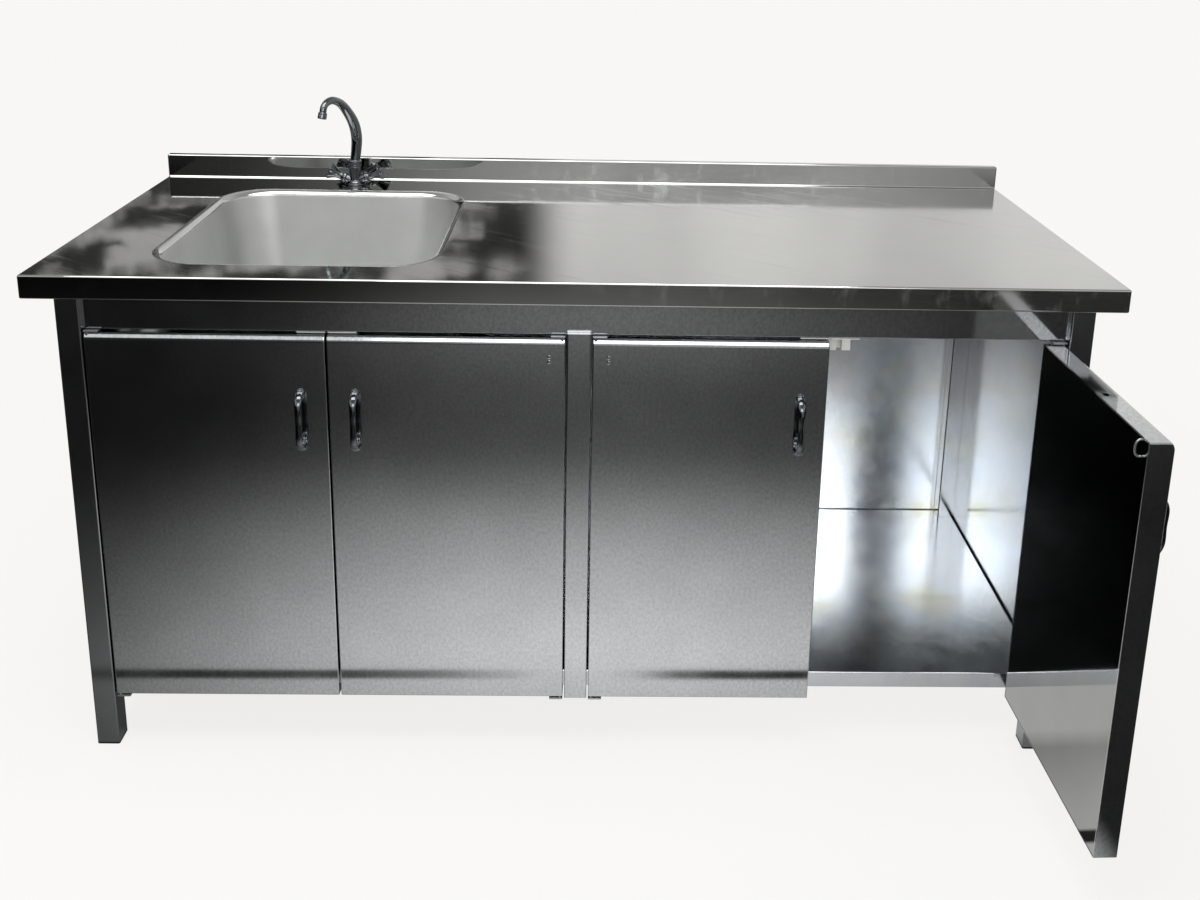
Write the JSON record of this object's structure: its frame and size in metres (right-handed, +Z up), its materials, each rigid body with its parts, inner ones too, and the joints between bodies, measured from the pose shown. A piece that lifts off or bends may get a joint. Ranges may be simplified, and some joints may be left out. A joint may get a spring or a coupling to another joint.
{
  "type": "kitchen sink unit",
  "caption": "Free-standing stainless steel sink unit: worktop with pressed bowl and drainer, swan-neck mixer tap, tube legs and hinged tray doors over a base shelf.",
  "frame": {"origin": "floor level, midway along the worktop's length and midway between the worktop's back edge and the open door's front edge", "axes": "+X to the right along the worktop, +Y to the back, +Z up"},
  "size_m": [1.8, 1.0962, 1.0978],
  "materials": {
    "mirror_steel": "bright polished stainless sheet",
    "satin_steel": "satin stainless sheet",
    "liner_steel": "bright stainless sheet",
    "bowl_steel": "matt pressed stainless",
    "tube_steel": "polished stainless tube",
    "chrome": "bright chrome plate",
    "zinc_plate": "zinc plate",
    "black_plastic": "moulded black plastic",
    "white_plastic": "moulded white plastic"
  },
  "bodies": {
    "cabinet": {"worktop": "mirror_steel", "worktop_stiffener": "satin_steel", "sink_bowl": "bowl_steel", "waste_flange": "chrome", "waste_backnut": "black_plastic", "trap_inlet": "white_plastic", "trap_bottle": "white_plastic", "trap_outlet": "white_plastic", "tap_body": "chrome", "tap_backnut": "zinc_plate", "tap_inlet_left": "chrome", "tap_inlet_right": "chrome", "leg_front_left": "tube_steel", "leg_front_right": "tube_steel", "leg_rear_left": "tube_steel", "leg_rear_right": "tube_steel", "foot_front_left": "black_plastic", "foot_front_right": "black_plastic", "foot_rear_left": "black_plastic", "foot_rear_right": "black_plastic", "mullion": "tube_steel", "front_apron": "satin_steel", "base_shelf": "mirror_steel", "shelf_stiffener": "satin_steel", "side_panel_left": "satin_steel", "side_panel_right": "satin_steel", "back_panel": "satin_steel", "pivot_bottom_1": "zinc_plate", "pivot_bottom_2": "zinc_plate", "pivot_bottom_3": "zinc_plate", "pivot_bottom_4": "zinc_plate", "pivot_top_1": "zinc_plate", "pivot_top_2": "zinc_plate", "pivot_top_3": "zinc_plate", "pivot_top_4": "zinc_plate", "catch_1": "white_plastic", "catch_2": "white_plastic", "catch_3": "white_plastic", "catch_4": "white_plastic"},
    "door_1": {"door_1_pan": "satin_steel", "door_1_liner": "liner_steel", "door_1_handle": "chrome", "door_1_strike": "zinc_plate"},
    "door_2": {"door_2_pan": "satin_steel", "door_2_liner": "liner_steel", "door_2_handle": "chrome", "door_2_strike": "zinc_plate"},
    "door_3": {"door_3_pan": "satin_steel", "door_3_liner": "liner_steel", "door_3_handle": "chrome", "door_3_strike": "zinc_plate"},
    "door_4": {"door_4_pan": "satin_steel", "door_4_liner": "liner_steel", "door_4_handle": "chrome", "door_4_strike": "zinc_plate"},
    "spout": {"tap_spout": "chrome", "tap_aerator": "chrome"},
    "hot_knob": {"tap_handle_left": "chrome"},
    "cold_knob": {"tap_handle_right": "chrome"}
  },
  "joints": [
    {"name": "door_1_hinge", "type": "hinge", "parent": "cabinet", "child": "door_1", "pos_m": [-0.816, -0.1549, 0], "axis": [0, 0, 1], "range_deg": [-110, 0]},
    {"name": "door_2_hinge", "type": "hinge", "parent": "cabinet", "child": "door_2", "pos_m": [-0.028, -0.1549, 0], "axis": [0, 0, 1], "range_deg": [0, 88]},
    {"name": "door_3_hinge", "type": "hinge", "parent": "cabinet", "child": "door_3", "pos_m": [0.028, -0.1549, 0], "axis": [0, 0, 1], "range_deg": [-88, 0]},
    {"name": "door_4_hinge", "type": "hinge", "parent": "cabinet", "child": "door_4", "pos_m": [0.816, -0.1549, 0], "axis": [0, 0, 1], "range_deg": [-91.5, 18.5]},
    {"name": "spout_swivel", "type": "hinge", "parent": "cabinet", "child": "spout", "pos_m": [-0.488, 0.4811, 0.94], "axis": [0, 0, 1], "range_deg": [-68, 112]},
    {"name": "hot_knob_turn", "type": "hinge", "parent": "cabinet", "child": "hot_knob", "pos_m": [-0.488, 0.4811, 0.905], "axis": [-0.9135, 0, 0.4067], "range_deg": [0, 90]},
    {"name": "cold_knob_turn", "type": "hinge", "parent": "cabinet", "child": "cold_knob", "pos_m": [-0.488, 0.4811, 0.905], "axis": [0.9135, 0, 0.4067], "range_deg": [0, 90]}
  ]
}
